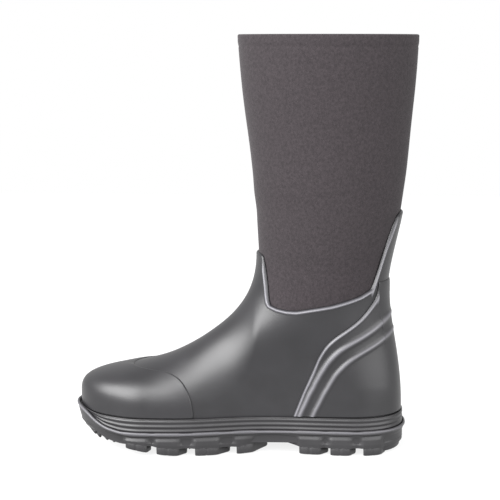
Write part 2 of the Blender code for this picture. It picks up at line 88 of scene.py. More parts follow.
def softened(values, soft, step):
    """Values at even steps, blurred by a bell curve of width soft, with straight run-outs."""
    count = int(4 * soft / step)
    before = values[0] + (values[1] - values[0]) * np.arange(-count, 0)
    after = values[-1] + (values[-1] - values[-2]) * np.arange(1, count + 1)
    bell = np.exp(-0.5 * (np.arange(-count, count + 1) * step / soft) ** 2)
    return np.convolve(np.concatenate([before, values, after]), bell / bell.sum(), "valid")


def drawn(points, soft=6.0, step=0.5):
    """A smooth function through a few points: straight between them, then blurred by a bell."""
    x, y = np.array(points, float).T
    grid = np.arange(x[0], x[-1] + step / 2, step)
    line = softened(np.interp(grid, x, y), soft, step)
    return lambda q: np.interp(q, grid, line)


def smoothstep(x, low, high):
    """0 below low, 1 above high, 3t^2 - 2t^3 between."""
    t = np.clip((x - low) / (high - low), 0, 1)
    return t * t * (3 - 2 * t)


def bell_of(x, width):
    """exp(-(x / width)^2)."""
    return np.exp(-((x / width) ** 2))


def run_along(points):
    """Distance from the first point to each point, along a line of points."""
    return np.append(0, np.cumsum(np.linalg.norm(np.diff(points, axis=0), axis=1)))


def front_path():
    """The front outline at even steps, blurred along its own length."""
    points = np.array(FRONT, float)
    along = run_along(points)
    steps = np.arange(0, along[-1], FRONT_STEP)
    s = softened(np.interp(steps, along, points[:, 0]), FRONT_SOFT, FRONT_STEP)
    z = softened(np.interp(steps, along, points[:, 1]), FRONT_SOFT, FRONT_STEP)
    return s, z


front_s, front_z = front_path()
steep = np.searchsorted(front_z, RIDGE_TOP)

# Back outline: height, distance behind the toe
back = drawn(
    [(0, 306.3), (42.9, 306.3), (55.7, 305.8), (67.5, 304.8), (82.3, 303), (96.3, 300.7)]
    + [(113.6, 297.6), (130.9, 294.9), (145.1, 293.7), (156.6, 293.9), (167.8, 294.9)]
    + [(175.6, 296.3), (189, 299), (200.2, 301.5), (216.9, 305.2), (227.7, 307.2)]
    + [(240.1, 308.9), (262.7, 311.5), (290.2, 313.9), (313.2, 315.9), (337.8, 318)]
    + [(362.3, 319.6), (377.1, 320.2), (391.8, 321)]
)
# Half-breadths of the foot at its widest, then of the ankle and shaft by height
outer_half = drawn(
    [(0, 41), (40, 44.5), (80, 47), (120, 49.5), (140, 49), (170, 45), (205, 41), (240, 38.7)]
    + [(275, 38), (330, 37)],
    9.0,
)
inner_half = drawn(
    [(0, 43), (40, 47), (60, 50), (90, 51), (115, 48.5), (140, 43), (165, 37.5), (185, 35.5)]
    + [(205, 35.5), (230, 37), (255, 38), (280, 38), (330, 37)],
    9.0,
)
shaft_half = drawn(
    [(0, 37), (58, 38), (98, 40), (148, 44), (198, 48.5), (238, 52), (295, 56), (343, 59)]
    + [(398, 61.5)],
    12.0,
)
# How deep the vamp's dome runs below its ridge, and how square it is
dome = drawn(
    [(0, 25.5), (46, 29.5), (74, 35), (100, 44), (117, 51), (142, 60), (165, 64), (330, 64)], 9.0
)
square = drawn(
    [(0, 7), (30, 5.2), (50, 3.6), (80, 2.4), (110, 2.0), (150, 1.8), (330, 1.8)], 9.0
)
# Which height at the back each height at the front is joined to
tilt = drawn(
    [(0, 0), (43, 43), (63, 58), (74.5, 72), (87, 91), (106.5, 118), (124, 148), (142.6, 170)]
    + [(163.6, 190), (185, 204), (214.5, 224), (238, 242), (260, 260), (418, 418)],
    5.0,
)
# The floor the foot stands on
bed = drawn(
    [(0, 27), (20, 24.7), (45, 21.7), (80, 18.9), (120, 17.9), (160, 20), (200, 24.5)]
    + [(240, 28), (330, 29.5)],
    10.0,
)


def ridge(s):
    """Height of the vamp's ridge, carried on steeply behind the shaft's front."""
    behind = np.clip(s - front_s[steep - 1], 0, None)
    return np.interp(s, front_s[:steep], front_z[:steep]) + 3.5 * behind


def nose_share(s):
    """How much of the half-breadth's square the nose's round takes: 1 at the nose, 0 behind it."""
    return np.clip(1 - (s - NOSE) / NOSE_ROUND, 0, 1) ** NOSE_POWER


def toe_lean(s):
    """How far the last's middle line lies to the inner side: 3 mm at the toe, 0 at the ball."""
    return 3 * (1 - smoothstep(s, NOSE, 90))


def half_breadth(s, z, side):
    """Half-breadth in the side view: width x front round x back round.

    Low down the front round is sqrt(1 - A^2.1 - C^n), with A rising to 1 at the nose and C to 1
    at the ridge; on the shaft it is half an ellipse, and the two mix between the toes and the
    ankle.
    """
    foot = np.where(side > 0, outer_half(s), inner_half(s))
    ankle = smoothstep(z, 50, 130)
    width = foot + (shaft_half(z) - foot) * ankle
    crown = np.clip(1 - (ridge(s) - z) / dome(s), 0, 1)
    low = np.sqrt(np.clip(1 - nose_share(s) - crown ** square(s), 0, 1))
    shin = np.interp(z, front_z, front_s)
    half = (back(z) - shin) / 2
    high = np.sqrt(np.clip(1 - np.clip(1 - (s - shin) / half, 0, 1) ** 2, 0, 1))
    reach = HEEL_ROUND + (half - HEEL_ROUND) * smoothstep(z, 60, 150)
    power = 2.3 - 0.3 * ankle
    behind = np.clip(1 - (back(z) - s) / reach, 0, 1)
    rear = np.clip(1 - behind**power, 0, 1) ** (1 / power)
    return width * (low + (high - low) * smoothstep(z, 88, 150)) * rear


def shin_line():
    """The front outline of the finished last: up the nose, round onto the ridge, up the shaft."""
    wall = np.linspace(bed(NOSE) + GAP, ridge(NOSE) - dome(NOSE), NOSE_STEPS)
    s = NOSE + (VAMP_END - NOSE) * np.linspace(0, 1, VAMP_STEPS) ** 2
    z = ridge(s) - dome(s) * (1 - np.clip(1 - nose_share(s), 0, 1) ** (1 / square(s)))
    rest = ((front_s > VAMP_END) | (front_z > 160)) & (front_z < TOP)
    top_s = np.interp(TOP, front_z, front_s)
    s = np.concatenate([np.full(NOSE_STEPS, NOSE), s, front_s[rest], [top_s]])
    return s, np.concatenate([wall, z, front_z[rest], [TOP]])


shin_s, shin_z = shin_line()
shin_run = run_along(np.stack([shin_s, shin_z], -1))


def share_back(u):
    """How far round a side each u lies: 0 at the front of the boot, 1 at its back."""
    return np.minimum(u % 1, 1 - u % 1) * 2


def side_view(u, v):
    """Distance behind the toe and height, for u round the boot and v up its front outline.

    Each level starts on the front outline and runs back to the height that tilt gives; along it
    the share (1 - cos) / 2 packs points towards the front and the back. Low levels sag with the
    bed.
    """
    share = (1 - np.cos(np.pi * np.where(u % 1 < 0.5, 2 * (u % 1), 2 - 2 * (u % 1)))) / 2
    run = np.clip(v, 0, 1) * shin_run[-1]
    front = np.interp(run, shin_run, shin_s)
    low = np.interp(run, shin_run, shin_z)
    high = tilt(low)
    heel_bed = bed(back(0.0))
    high = high + (heel_bed + GAP - high) * (1 - smoothstep(low, shin_z[0], 45))
    s = front + share * (back(high) - front)
    chord = bed(NOSE) + (heel_bed - bed(NOSE)) * (s - NOSE) / (back(0.0) - NOSE)
    sag = (bed(s) - chord) * (1 - smoothstep(low, shin_z[0], 62))
    return s, low + share * (high - low) + sag, share


def last(u, v):
    """Points of the sock's outside. u runs 0 to 1 from the front round the outer side and back."""
    u, v = np.broadcast_arrays(u, v)
    side = np.where(u % 1 <= 0.5, 1, -1)
    s, z, share = side_view(u, v)
    y = side * half_breadth(s, z, side) * ((share > 1e-9) & (share < 1 - 1e-9))
    return np.stack([s, y - toe_lean(s), z], -1)


# Steps of u and v over which the last's direction is taken, how strongly that direction is turned
# upright at the sole, and how far up its front outline that fades out
U_STEP = 0.004
V_STEP = 0.003
UPRIGHT = 4
UPRIGHT_REACH = 25


def laid(u, v, distance):
    """Points at a distance outside the last, along the cross product of its two directions.

    At the sole the direction up the last is turned upright, so the points there move out level
    and a wall's two faces stay apart.
    """
    across = last(u + U_STEP, v) - last(u - U_STEP, v)
    up = last(u, np.minimum(v + V_STEP, 1)) - last(u, np.maximum(v - V_STEP, 0))
    up[..., 2] += UPRIGHT * (1 - smoothstep(v * shin_run[-1], 0, UPRIGHT_REACH))
    normal = np.cross(up, across)
    normal /= np.linalg.norm(normal, axis=-1, keepdims=True)
    return last(u, v) + np.asarray(distance)[..., None] * normal


def grid_faces(rows, columns, around, over):
    """Quads of a grid of points. around joins the last column to the first, over the rows."""
    row = np.arange(rows if over else rows - 1)[:, None]
    column = np.arange(columns if around else columns - 1)[None, :]
    up, beside = (row + 1) % rows, (column + 1) % columns
    corners = [row * columns + column, row * columns + beside]
    corners += [up * columns + beside, up * columns + column]
    return np.stack(np.broadcast_arrays(*corners), -1).reshape(-1, 4)


def made(name, grids, look, raised=None):
    """One mesh from grids of points in mm, each (points, around, over, turned), in its place.

    raised gives each grid's points a value from 0 to 1 for the material, which paints them paler
    as wear and a painted highlight: 1 on the top of a bead.
    """
    points, faces, start = [], [], 0
    for sheet, around, over, turned in grids:
        rows, columns = sheet.shape[:2]
        quads = grid_faces(rows, columns, around, over) + start
        faces.append(quads[:, ::-1] if turned else quads)
        points.append(sheet.reshape(-1, 3))
        start += rows * columns
    points = (np.concatenate(points) + [toe_tip, 0, 0]) / 1000
    faces = np.concatenate(faces)
    mesh = bpy.data.meshes.new(name)
    mesh.vertices.add(len(points))
    mesh.vertices.foreach_set("co", points.astype(np.float32).ravel())
    mesh.loops.add(faces.size)
    mesh.loops.foreach_set("vertex_index", faces.astype(np.int32).ravel())
    mesh.polygons.add(len(faces))
    mesh.polygons.foreach_set("loop_start", np.arange(0, faces.size, 4, dtype=np.int32))
    mesh.update(calc_edges=True)
    mesh.validate()
    mesh.polygons.foreach_set("use_smooth", np.ones(len(mesh.polygons), bool))
    if raised is not None:
        values = np.concatenate([part.ravel() for part in raised]).astype(np.float32)
        mesh.attributes.new("raised", "FLOAT", "POINT").data.foreach_set("value", values)
    mesh.materials.append(look)
    piece = bpy.data.objects.new(name, mesh)
    bpy.context.scene.collection.objects.link(piece)
    return piece


class Socket:
    """A shader socket that takes part in Python sums: each operator adds its Math node."""

    def __init__(self, look, socket):
        self.look = look
        self.socket = socket

    def math(self, operation, *values):
        settings = {"operation": operation}
        return self.look.node("ShaderNodeMath", settings, dict(enumerate(values)))

    def __add__(self, other):
        return self.math("ADD", self, other)

    def __mul__(self, other):
        return self.math("MULTIPLY", self, other)


class Look:
    """A material with a Principled BSDF, whose other nodes all come from one method."""

    COLOUR_A, COLOUR_B, COLOUR_OUT = 6, 7, 2  # the Mix node's colour sockets

    def __init__(self, name, **values):
        self.material = bpy.data.materials.new(name)
        self.material.use_nodes = True
        self.tree = self.material.node_tree
        self.shader = self.tree.nodes["Principled BSDF"]
        for key, value in values.items():
            self.set(key.replace("_", " "), value)

    def set(self, name, value):
        """A value or a Socket on one of the shader's sockets."""
        self.fill(self.shader.inputs[name], value)

    def fill(self, socket, value):
        """A link from a Socket, or a plain value, a colour getting its alpha."""
        if isinstance(value, Socket):
            self.tree.links.new(value.socket, socket)
        elif isinstance(value, tuple) and len(value) == 3 and len(socket.default_value) == 4:
            socket.default_value = (*value, 1)
        else:
            socket.default_value = value

    def node(self, kind, settings=None, values=None, out=0):
        """A node of this type: its settings are made first, then its sockets' values or links."""
        node = self.tree.nodes.new(kind)
        for key, value in (settings or {}).items():
            if key == "stops":
                for element, (place, shade) in zip(ramp_elements(node, len(value)), value):
                    element.position = place
                    element.color = (shade, shade, shade, 1)
            else:
                setattr(node, key, value)
        for key, value in (values or {}).items():
            self.fill(node.inputs[key], value)
        return Socket(self, node.outputs[out])

    def noise(self, scale, detail=3.0, roughness=0.55, stretch=(1, 1, 1)):
        """Noise of about 1 / scale metres over the piece's own place, squeezed by stretch."""
        place = self.node("ShaderNodeTexCoord", out="Object")
        if stretch != (1, 1, 1):
            values = {"Vector": place, "Scale": stretch}
            place = self.node("ShaderNodeMapping", None, values)
        values = {"Vector": place, "Scale": scale, "Detail": detail, "Roughness": roughness}
        return self.node("ShaderNodeTexNoise", None, values)

    def between(self, share, first, second):
        """Colour between two colours, by a share from 0 to 1."""
        values = {"Factor": share, self.COLOUR_A: first, self.COLOUR_B: second}
        return self.node("ShaderNodeMix", {"data_type": "RGBA"}, values, out=self.COLOUR_OUT)

    def ramp(self, value, stops):
        """A grey for each value, from stops of (value, grey)."""
        return self.node("ShaderNodeValToRGB", {"stops": stops}, {"Fac": value})

    def bump(self, height, depth, strength=1.0):
        """Relief of this depth in metres on the shader's normal."""
        values = {"Height": height, "Distance": depth, "Strength": strength}
        self.set("Normal", self.node("ShaderNodeBump", None, values))


def ramp_elements(node, count):
    """A colour ramp's stops, made up to count."""
    elements = node.color_ramp.elements
    while len(elements) < count:
        elements.new(1.0)
    return list(elements)


# Soft troughs (-) and ridges (+) in the shaft: share of the way back along the side, height,
# length round the boot as a share, width up the boot, rise
CREASES = [
    (0.10, 226, 0.30, 11, -0.5),
    (0.16, 243, 0.34, 13, 0.45),
    (0.80, 238, 0.30, 14, -0.4),
    (0.62, 176, 0.40, 12, -0.45),
    (0.30, 192, 0.30, 13, 0.4),
    (0.45, 300, 0.60, 26, -0.5),
]
CREASE_FALL = 14  # how far a crease climbs over the whole side
SOCK_COLUMNS = 288


def creases(u, z):
    """Rise of the neoprene: for each crease, a bell over its length times one over its width."""
    share = share_back(u)
    rise = np.zeros(np.broadcast(u, z).shape)
    for place, height, length, width, lift in CREASES:
        along = (share - place) / length
        up = (z - height - CREASE_FALL * (share - place)) / width
        rise = rise + lift * np.exp(-(along**2) - up**2)
    return rise


def neoprene_sheets():
    """Outside, turned collar and lining of the sock, as one closed wall from sole to sole."""
    u = np.arange(SOCK_COLUMNS)[None, :] / SOCK_COLUMNS
    v = np.append(np.linspace(0, 0.42, 34), np.linspace(0.42, 1, 170)[1:])[:, None]
    z = side_view(u, v)[1]
    hem = -0.45 * bell_of(z - TOP + 9, 0.7) + 0.25 * bell_of(z - TOP + 5, 3)
    outside = laid(u, v, creases(u, z) * smoothstep(z, 140, 160) + hem)
    lining = laid(u, v[::3], np.full((len(v[::3]), u.shape[1]), -WALL))
    lining[0, :, 2] = outside[0, :, 2]
    turn = np.linspace(0, np.pi, 9)[1:-1, None, None]
    middle = (outside[-1] + lining[-1]) / 2
    half = (outside[-1] - lining[-1]) / 2
    collar = middle + half * np.cos(turn)
    collar[..., 2] += np.abs(np.sin(turn[..., 0])) * WALL / 2 * 0.8
    return np.concatenate([outside, collar, lining[::-1]])


knit = Look("brown-grey knit faced neoprene", Roughness=0.85)
mottle = knit.noise(380, 4.0, 0.6)
loops_up = knit.noise(900, 1.0, 0.5, (1, 1, 0.55))
shade = knit.ramp(mottle * 0.65 + loops_up * 0.35, [(0.36, 0.0), (0.64, 1.0)])
knit.set("Base Color", knit.between(shade, (0.0112, 0.0090, 0.0101), (0.0198, 0.0160, 0.0178)))
knit.set("Sheen Weight", 0.05)
knit.set("Specular IOR Level", 0.15)
knit.set("Sheen Roughness", 0.5)
knit.bump(loops_up * 0.7 + mottle * 0.3, 0.0003, 0.8)
sock = made("neoprene_sock_knit", [(neoprene_sheets(), True, True, False)], knit.material)
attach(sock, "root")
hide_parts("neoprene_sock")

# ---- Rubber galosh ---------------------------------------------------
# A 2.2 mm rubber shell over the foot, with a strip up the shin and one up the heel cord, moulded
# with a bead round its top edge and vulcanised onto the sock.

# Top edge by share of the way from front to back of a side: the shin strip's top and side, the
# low side edge, then up the rear strip
GALOSH_TOP = [(0, 186), (0.1, 185.6), (0.14, 184), (0.163, 176), (0.2, 164), (0.245, 151.5)]
GALOSH_TOP += [(0.275, 144.5), (0.3, 140.4), (0.345, 138.3), (0.4, 137), (0.445, 137.1)]
GALOSH_TOP += [(0.51, 140), (0.59, 143.1), (0.66, 147), (0.72, 150.6), (0.785, 156.5)]
GALOSH_TOP += [(0.806, 170), (0.818, 186), (0.83, 200), (0.855, 214), (0.885, 222)]
GALOSH_TOP += [(0.915, 224.8), (0.95, 225.6), (1, 225.8)]
GALOSH_OUT = 2.5  # its outer face, outside the last
GALOSH_COLUMNS = 400
# Rows of points across a beaded edge, in mm from the edge
BEAD_ROWS = [0, 0.08, 0.25, 0.5, 0.8, 1.1, 1.5, 1.9, 2.3, 2.7, 3.1, 3.5, 3.9, 4.3, 4.8, 5.6, 7]


def level_of(share, height):
    """v at which each column of the boot reaches a height, from a fine run up the column."""
    v = np.linspace(0, 1, 1500)[:, None]
    z = side_view(share[None, :] / 2, v)[1]
    return np.array([np.interp(h, column, v[:, 0]) for h, column in zip(height, z.T)])


def strips(edge, base, near, count, ring):
    """A grid of (u, v) from the points of an edge to those of a base line, a column per point.

    The first rows lie at the distances near, in mm square to the edge, and count more share out
    what is left of the column. Distances are measured on the last: along the column, times the
    sine of the angle between the column and the edge.
    """
    q = np.linspace(0, 1, 240)[:, None, None]
    line = edge + q * (base - edge)
    points = last(line[..., 0], line[..., 1])
    steps = np.diff(points, axis=0, prepend=points[:1])
    run = np.cumsum(np.linalg.norm(steps, axis=-1), axis=0)
    if ring:
        along = np.roll(points[0], -1, 0) - np.roll(points[0], 1, 0)
    else:
        along = np.gradient(points[0], axis=0)
    down = points[2] - points[0]
    sine = np.linalg.norm(np.cross(along, down), axis=-1)
    sine /= np.linalg.norm(along, axis=-1) * np.linalg.norm(down, axis=-1) + 1e-9
    reach = np.asarray(near)[:, None] / np.clip(sine, 0.3, 1)
    reach = np.minimum(reach, run[-1] * np.linspace(0, 0.6, len(near))[:, None])
    rest = reach[-1] + (run[-1] - reach[-1]) * np.linspace(0, 1, count + 1)[1:, None]
    wanted = np.concatenate([reach, rest])
    place = np.stack([np.interp(w, r, q[:, 0, 0]) for w, r in zip(wanted.T, run.T)], -1)
    return edge + place[..., None] * (base - edge), wanted * np.clip(sine, 0.3, 1)


def bead(depth, width):
    """A soft bead along an edge: cos^2 of the place across its width, 1 on its crest."""
    x = np.clip((depth - width / 2) / (width / 2), -1, 1)
    return np.cos(np.pi / 2 * x) ** 2


def quarter_round(depth, radius):
    """1 at an edge, falling to 0 at radius from it, along a quarter of an ellipse."""
    return 1 - np.sqrt(1 - np.clip(1 - depth / radius, 0, 1) ** 2)


def smooth_ring(values, soft):
    """Values round a closed edge, blurred by a bell of width soft in points."""
    reach = int(4 * soft)
    bell = np.exp(-0.5 * (np.arange(-reach, reach + 1) / soft) ** 2)
    ring = np.concatenate([values[-reach:], values, values[:reach]])
    return np.convolve(ring, bell / bell.sum(), "valid")


def galosh_sheets():
    """Outer face with its beaded edge and the inner face back up, and the bead's crest."""
    u = np.arange(GALOSH_COLUMNS) / GALOSH_COLUMNS
    share = share_back(u)
    table = np.array(GALOSH_TOP)
    top = smooth_ring(np.interp(share, table[:, 0], table[:, 1]), 1.1)
    edge = np.stack([u, level_of(share, top)], -1)
    base = np.stack([u, np.zeros(GALOSH_COLUMNS)], -1)
    place, depth = strips(edge, base, BEAD_ROWS, 84, True)
    plain_top = (1 - smoothstep(share, 0.138, 0.17)) + smoothstep(share, 0.862, 0.9)
    crest = bead(depth, 4.2) * (1 - plain_top)
    out = GALOSH_OUT - 2.1 * quarter_round(depth, 2.1) + 1.2 * crest
    out[0] = GAP
    outside = laid(place[..., 0], place[..., 1], out)
    inner = place[::-8]
    inside = laid(inner[..., 0], inner[..., 1], np.full(inner.shape[:2], GAP))
    raised = np.pad(crest[::-1], ((0, len(inner)), (0, 0)))
    return np.concatenate([outside[::-1], inside[::-1]]), raised


def rubber(name, dark, light, rough):
    """Satin moulded rubber, a little uneven in tone and gloss, paler on raised beads as wear and a
    painted highlight.
    """
    look = Look(name, Roughness=rough)
    look.set("Specular IOR Level", 0.4)
    cloud = look.noise(26, 4.0, 0.6)
    grain = look.noise(1500, 2.0, 0.5)
    tone = look.between(look.ramp(cloud, [(0.3, 0.0), (0.7, 1.0)]), dark, light)
    # Beads, lips and ridges get a paler base colour: partly wear, partly a painted highlight on
    # their crests.
    worn_and_highlit = look.node("ShaderNodeAttribute", {"attribute_name": "raised"}, out="Fac")
    look.set("Base Color", look.between(worn_and_highlit, tone, (0.085, 0.083, 0.092)))
    look.set("Roughness", cloud * 0.12 + grain * 0.06 + (rough - 0.09))
    look.bump(grain * 0.35 + cloud * 1.0, 0.00022, 0.5)
    return look


shell = rubber(
    "satin charcoal rubber", (0.0042, 0.0040, 0.0048), (0.0070, 0.0067, 0.0080), 0.43
)
sheets, raised = galosh_sheets()
galosh = made("rubber_galosh_beaded", [(sheets, True, True, True)], shell.material, [raised])
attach(galosh, "root")
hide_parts("rubber_galosh")

# ---- Toe cap ---------------------------------------------------------
# A second layer of rubber over the toes, 1.8 mm thick, its curved rear edge rolled down onto the
# vamp.

# Rear edge: angle round the foot from the ridge in degrees, distance behind the toe
CAP_EDGE = [(0, 56), (10, 57.5), (20, 61.5), (30, 67.5), (38, 75), (46, 91), (52, 101)]
CAP_EDGE += [(58, 106.8), (69, 112.4), (78, 115.3), (88, 116.6), (96, 117), (120, 117)]
CAP_AXIS = 41  # height of the line that the angles are taken round
CAP_ROWS = [0, 0.05, 0.15, 0.3, 0.5, 0.8, 1.2, 1.6, 2.1, 2.8, 4, 6, 9, 13]
CAP_COLUMNS = 260
OVERLAY_IN = 2.8  # the underside of what lies on the galosh, outside the last
band_top = drawn([(0, 38.6), (10, 38), (25, 35.8), (60, 35.3), (200, 35.6), (330, 36.5)], 4.0)


def crossing(field, along):
    """Where each row of a field first crosses 0, as a value of along, straight in between."""
    hit = np.argmax(field <= 0, axis=1)
    row = np.arange(len(field))
    before, after = field[row, hit - 1], field[row, hit]
    return along[hit - 1] + (along[hit] - along[hit - 1]) * before / (before - after)


def band_level(u):
    """v at which a column of the boot clears the top of the midsole's band."""
    v = np.linspace(0, 0.2, 400)[:, None]
    s, z, _ = side_view(u[None, :], v)
    over = z - band_top(s) - 1.2
    return np.array([np.interp(0, column, v[:, 0]) for column in over.T])


def even(points, count):
    """Points along a line of (u, v), shared out evenly by their distance on the last."""
    run = run_along(last(points[:, 0], points[:, 1]))
    wanted = np.linspace(0, run[-1], count)
    return np.stack([np.interp(wanted, run, axis) for axis in points.T], -1)


def cap_edge_line():
    """The toe cap's rear edge in (u, v): up the outer side, over the ridge, down the inner."""
    reach = drawn(CAP_EDGE, 3.0)
    share = np.linspace(0, 0.9, 1500)
    level = np.linspace(0.01, 0.30, 700)
    sides = []
    for side in (1, -1):
        points = last(side * share[None, :] / 2, level[:, None])
        off = points[..., 1] + toe_lean(points[..., 0])
        angle = np.degrees(np.arctan2(np.abs(off), points[..., 2] - CAP_AXIS))
        field = reach(np.clip(angle, 0, CAP_EDGE[-1][0])) - points[..., 0]
        inside = field[:, 0] > 0
        found = crossing(field[inside], share)
        line = np.stack([side * found / 2, level[inside]], -1)
        sides.append(line[line[:, 1] > band_level(line[:, 0])])
    vamp = slice(NOSE_STEPS, NOSE_STEPS + VAMP_STEPS)
    apex = np.interp(reach(0.0), shin_s[vamp], shin_run[vamp]) / shin_run[-1]
    return np.concatenate([sides[0], [[0.0, apex]], sides[1][::-1]])


def down_to_band(edge):
    """The base line of an overlay: as many points as its edge has, along the band's top."""
    u = np.linspace(edge[0, 0], edge[-1, 0], len(edge))
    return np.stack([u, band_level(u)], -1)


def overlay(place, out):
    """A closed wall laid over the galosh: outer face from its edge to its base, then back."""
    outside = laid(place[..., 0], place[..., 1], OVERLAY_IN + out)
    inner = place[::-6]
    under = np.full(inner.shape[:2], OVERLAY_IN - 0.2)
    return np.concatenate([outside, laid(inner[..., 0], inner[..., 1], under)])


def cap_sheets():
    """The cap's wall: its edge falls in a tight round, and in a long soft one at the ridge."""
    edge = even(cap_edge_line(), CAP_COLUMNS)
    place, depth = strips(edge, down_to_band(edge), CAP_ROWS, 90, False)
    outer = edge[:, 0] > 0
    soft = bell_of(edge[:, 0], np.where(outer, 0.12, 0.02))
    reach = 1.2 + np.where(outer, 14, 7) * soft
    return overlay(place, 1.5 - (1.35 + 0.5 * soft) * quarter_round(depth, reach))


cap = made("toe_cap_rolled_edge", [(cap_sheets(), False, True, False)], shell.material)
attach(cap, "root")
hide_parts("toe_cap")

# ---- Heel counter ----------------------------------------------------
# A stiffener of rubber round the heel, 1.6 mm thick. Its beaded front edge sweeps up from the
# sole to the rear strip, and two more moulded ridges sweep round the heel below it.

# Front edge, then the two ridges: height, distance behind the toe
COUNTER_EDGE = [(34, 208), (60, 218), (80, 226.5), (93, 231.4), (104.6, 238), (112.6, 245.8)]
COUNTER_EDGE += [(120.9, 258.1), (129.3, 268.9), (138.7, 276.5), (146.8, 282.1), (154.5, 284.2)]
COUNTER_EDGE += [(163, 285)]
FIRST_RIDGE = [(34, 214), (60, 225.5), (78, 234.5), (89.6, 241.4), (100.9, 251.3)]
FIRST_RIDGE += [(107.2, 262.5), (114.9, 276.8), (123.3, 288.1), (129.8, 295.2), (134, 300)]
SECOND_RIDGE = [(34, 226), (60, 238.5), (78, 248.5), (89.6, 259), (97.6, 271.4)]
SECOND_RIDGE += [(102.9, 282.6), (110.7, 293.9), (116.5, 300)]
COUNTER_TOP = 162.0
COUNTER_COLUMNS = 340
COUNTER_ACROSS = 40  # steps of its top edge across the heel cord


def on_side(table, side):
    """A line of the side view (height, distance) as (u, v) on one side, from the sole up."""
    reach = drawn(table, 3.0)
    share = np.linspace(1, 0.3, 1500)
    level = np.linspace(0.0, 0.75, 900)
    s, z, _ = side_view(side * share[None, :] / 2, level[:, None])
    inside = s[:, 0] - reach(z[:, 0]) > 0
    rows = len(level) if inside.all() else np.argmin(inside)
    found = crossing((s - reach(z))[:rows], share)
    return np.stack([found / 2 if side > 0 else 1 - found / 2, level[:rows]], -1)


def counter_edge_line():
    """The counter's edge in (u, v): up the outer side, across the heel cord, down the inner."""
    sides = []
    for side in (1, -1):
        line = on_side(COUNTER_EDGE, side)
        height = side_view(line[:, 0], line[:, 1])[1]
        sides.append(line[(height < COUNTER_TOP) & (line[:, 1] > band_level(line[:, 0]))])
    across = np.linspace(sides[0][-1, 0], sides[1][-1, 0], COUNTER_ACROSS)[1:-1]
    level = level_of(share_back(across), np.full(len(across), COUNTER_TOP))
    return np.concatenate([sides[0], np.stack([across, level], -1), sides[1][::-1]])


def ridge_field(place, table, width):
    """A moulded ridge round the heel: a bell of the distance from its line, 1 on its crest."""
    line = even(np.concatenate([on_side(table, 1), on_side(table, -1)[::-1]]), 1200)
    line[:, 1] = softened(line[:, 1], 14, 1.0)
    crest = last(line[:, 0], line[:, 1])
    tree = kdtree.KDTree(len(crest))
    for index, point in enumerate(crest):
        tree.insert(point, index)
    tree.balance()
    points = last(place[..., 0], place[..., 1])
    gap = np.array([tree.find(point)[2] for point in points.reshape(-1, 3)])
    return bell_of(gap.reshape(place.shape[:2]), width)


def counter_sheets():
    """The counter's wall: beaded front edge, plain top edge and two ridges, and their crests."""
    edge = even(counter_edge_line(), COUNTER_COLUMNS)
    place, depth = strips(edge, down_to_band(edge), BEAD_ROWS[:-2], 110, False)
    beaded = 1 - smoothstep(side_view(edge[:, 0], edge[:, 1])[1], 153, 161)
    crest = bead(depth, 4.0) * beaded
    first = ridge_field(place, FIRST_RIDGE, 2.5)
    second = ridge_field(place, SECOND_RIDGE, 2.1)
    fade = 1 - 0.6 * smoothstep(share_back(place[..., 0]), 0.8, 1.0)
    relief = 1.1 * crest + (1.9 * first + 1.5 * second) * fade
    fall = 1.5 * quarter_round(depth, 1.6 + 9 * (1 - beaded))
    sheets = overlay(place, 1.4 - fall + relief)
    crest = np.maximum(np.maximum(crest, 0.9 * first**2), 0.8 * second**2)
    return sheets, np.pad(crest, ((0, len(sheets) - len(crest)), (0, 0)))


sheets, raised = counter_sheets()
counter = made("heel_counter_ridged", [(sheets, False, True, True)], shell.material, [raised])
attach(counter, "root")
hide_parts("heel_counter")

# ---- Midsole ---------------------------------------------------------
# A sponge rubber tray that the upper stands in. Its wall shows as a band round the foot with
# between two and three soft ribs, which fade out at the toe.

BAND_OUT = 5.3  # its outer face, outside the last's outline
BAND_COLUMNS = 620
BAND_RIBS = 2.6
LIP = 0.7  # radius of the band's top edge
PLATE = 4.5  # thickness of the outsole's plate
RAND_OUT = 8.1
rand_top = drawn(
    [(0, 40.8), (7, 39.9), (15, 36.3), (24, 30.3), (34, 25.8), (48, 23.3), (62, 22.9)]
    + [(200, 23.8), (330, 24.8)],
    3.0,
)
spring = drawn(
    [(0, 15), (15, 12.4), (30, 9.8), (49, 6.6), (72, 3), (88, 1), (100, 0), (330, 0)], 5.0
)
tread_depth = drawn([(0, 5), (25, 5.5), (50, 7.6), (70, 8), (330, 8)], 5.0)
arch = drawn([(0, 0), (160, 0), (180, 3.5), (196, 4), (214, 0), (330, 0)], 5.0)


def plan(u, distance):
    """The last's outline where it meets the sole, spread outwards by a distance."""
    u = np.asarray(u, float)
    near = last(np.stack([u - U_STEP, u, u + U_STEP]), 0.0)[..., :2]
    along = near[2] - near[0]
    normal = np.stack([-along[..., 1], along[..., 0]], -1)
    normal /= np.linalg.norm(normal, axis=-1, keepdims=True)
    return near[1] + np.asarray(distance)[..., None] * normal


def walls(u, distance, height):
    """Rows round the sole: each has its distance outside the last's outline and its height."""
    rows = zip(*np.broadcast_arrays(distance, height))
    return np.stack([np.concatenate([plan(u, d), h[:, None]], -1) for d, h in rows])


def sole_columns(count):
    """u for even steps round the sole's outline."""
    u = np.linspace(0, 1, 4001)
    run = run_along(plan(u, np.full(4001, 6.0)))
    return np.interp(np.arange(count) / count * run[-1], run, u)


def outsole_top(s):
    """Height of the outsole's top, where the midsole rests."""
    return spring(s) + tread_depth(s) + PLATE + 3.5 * smoothstep(s, 150, 215)


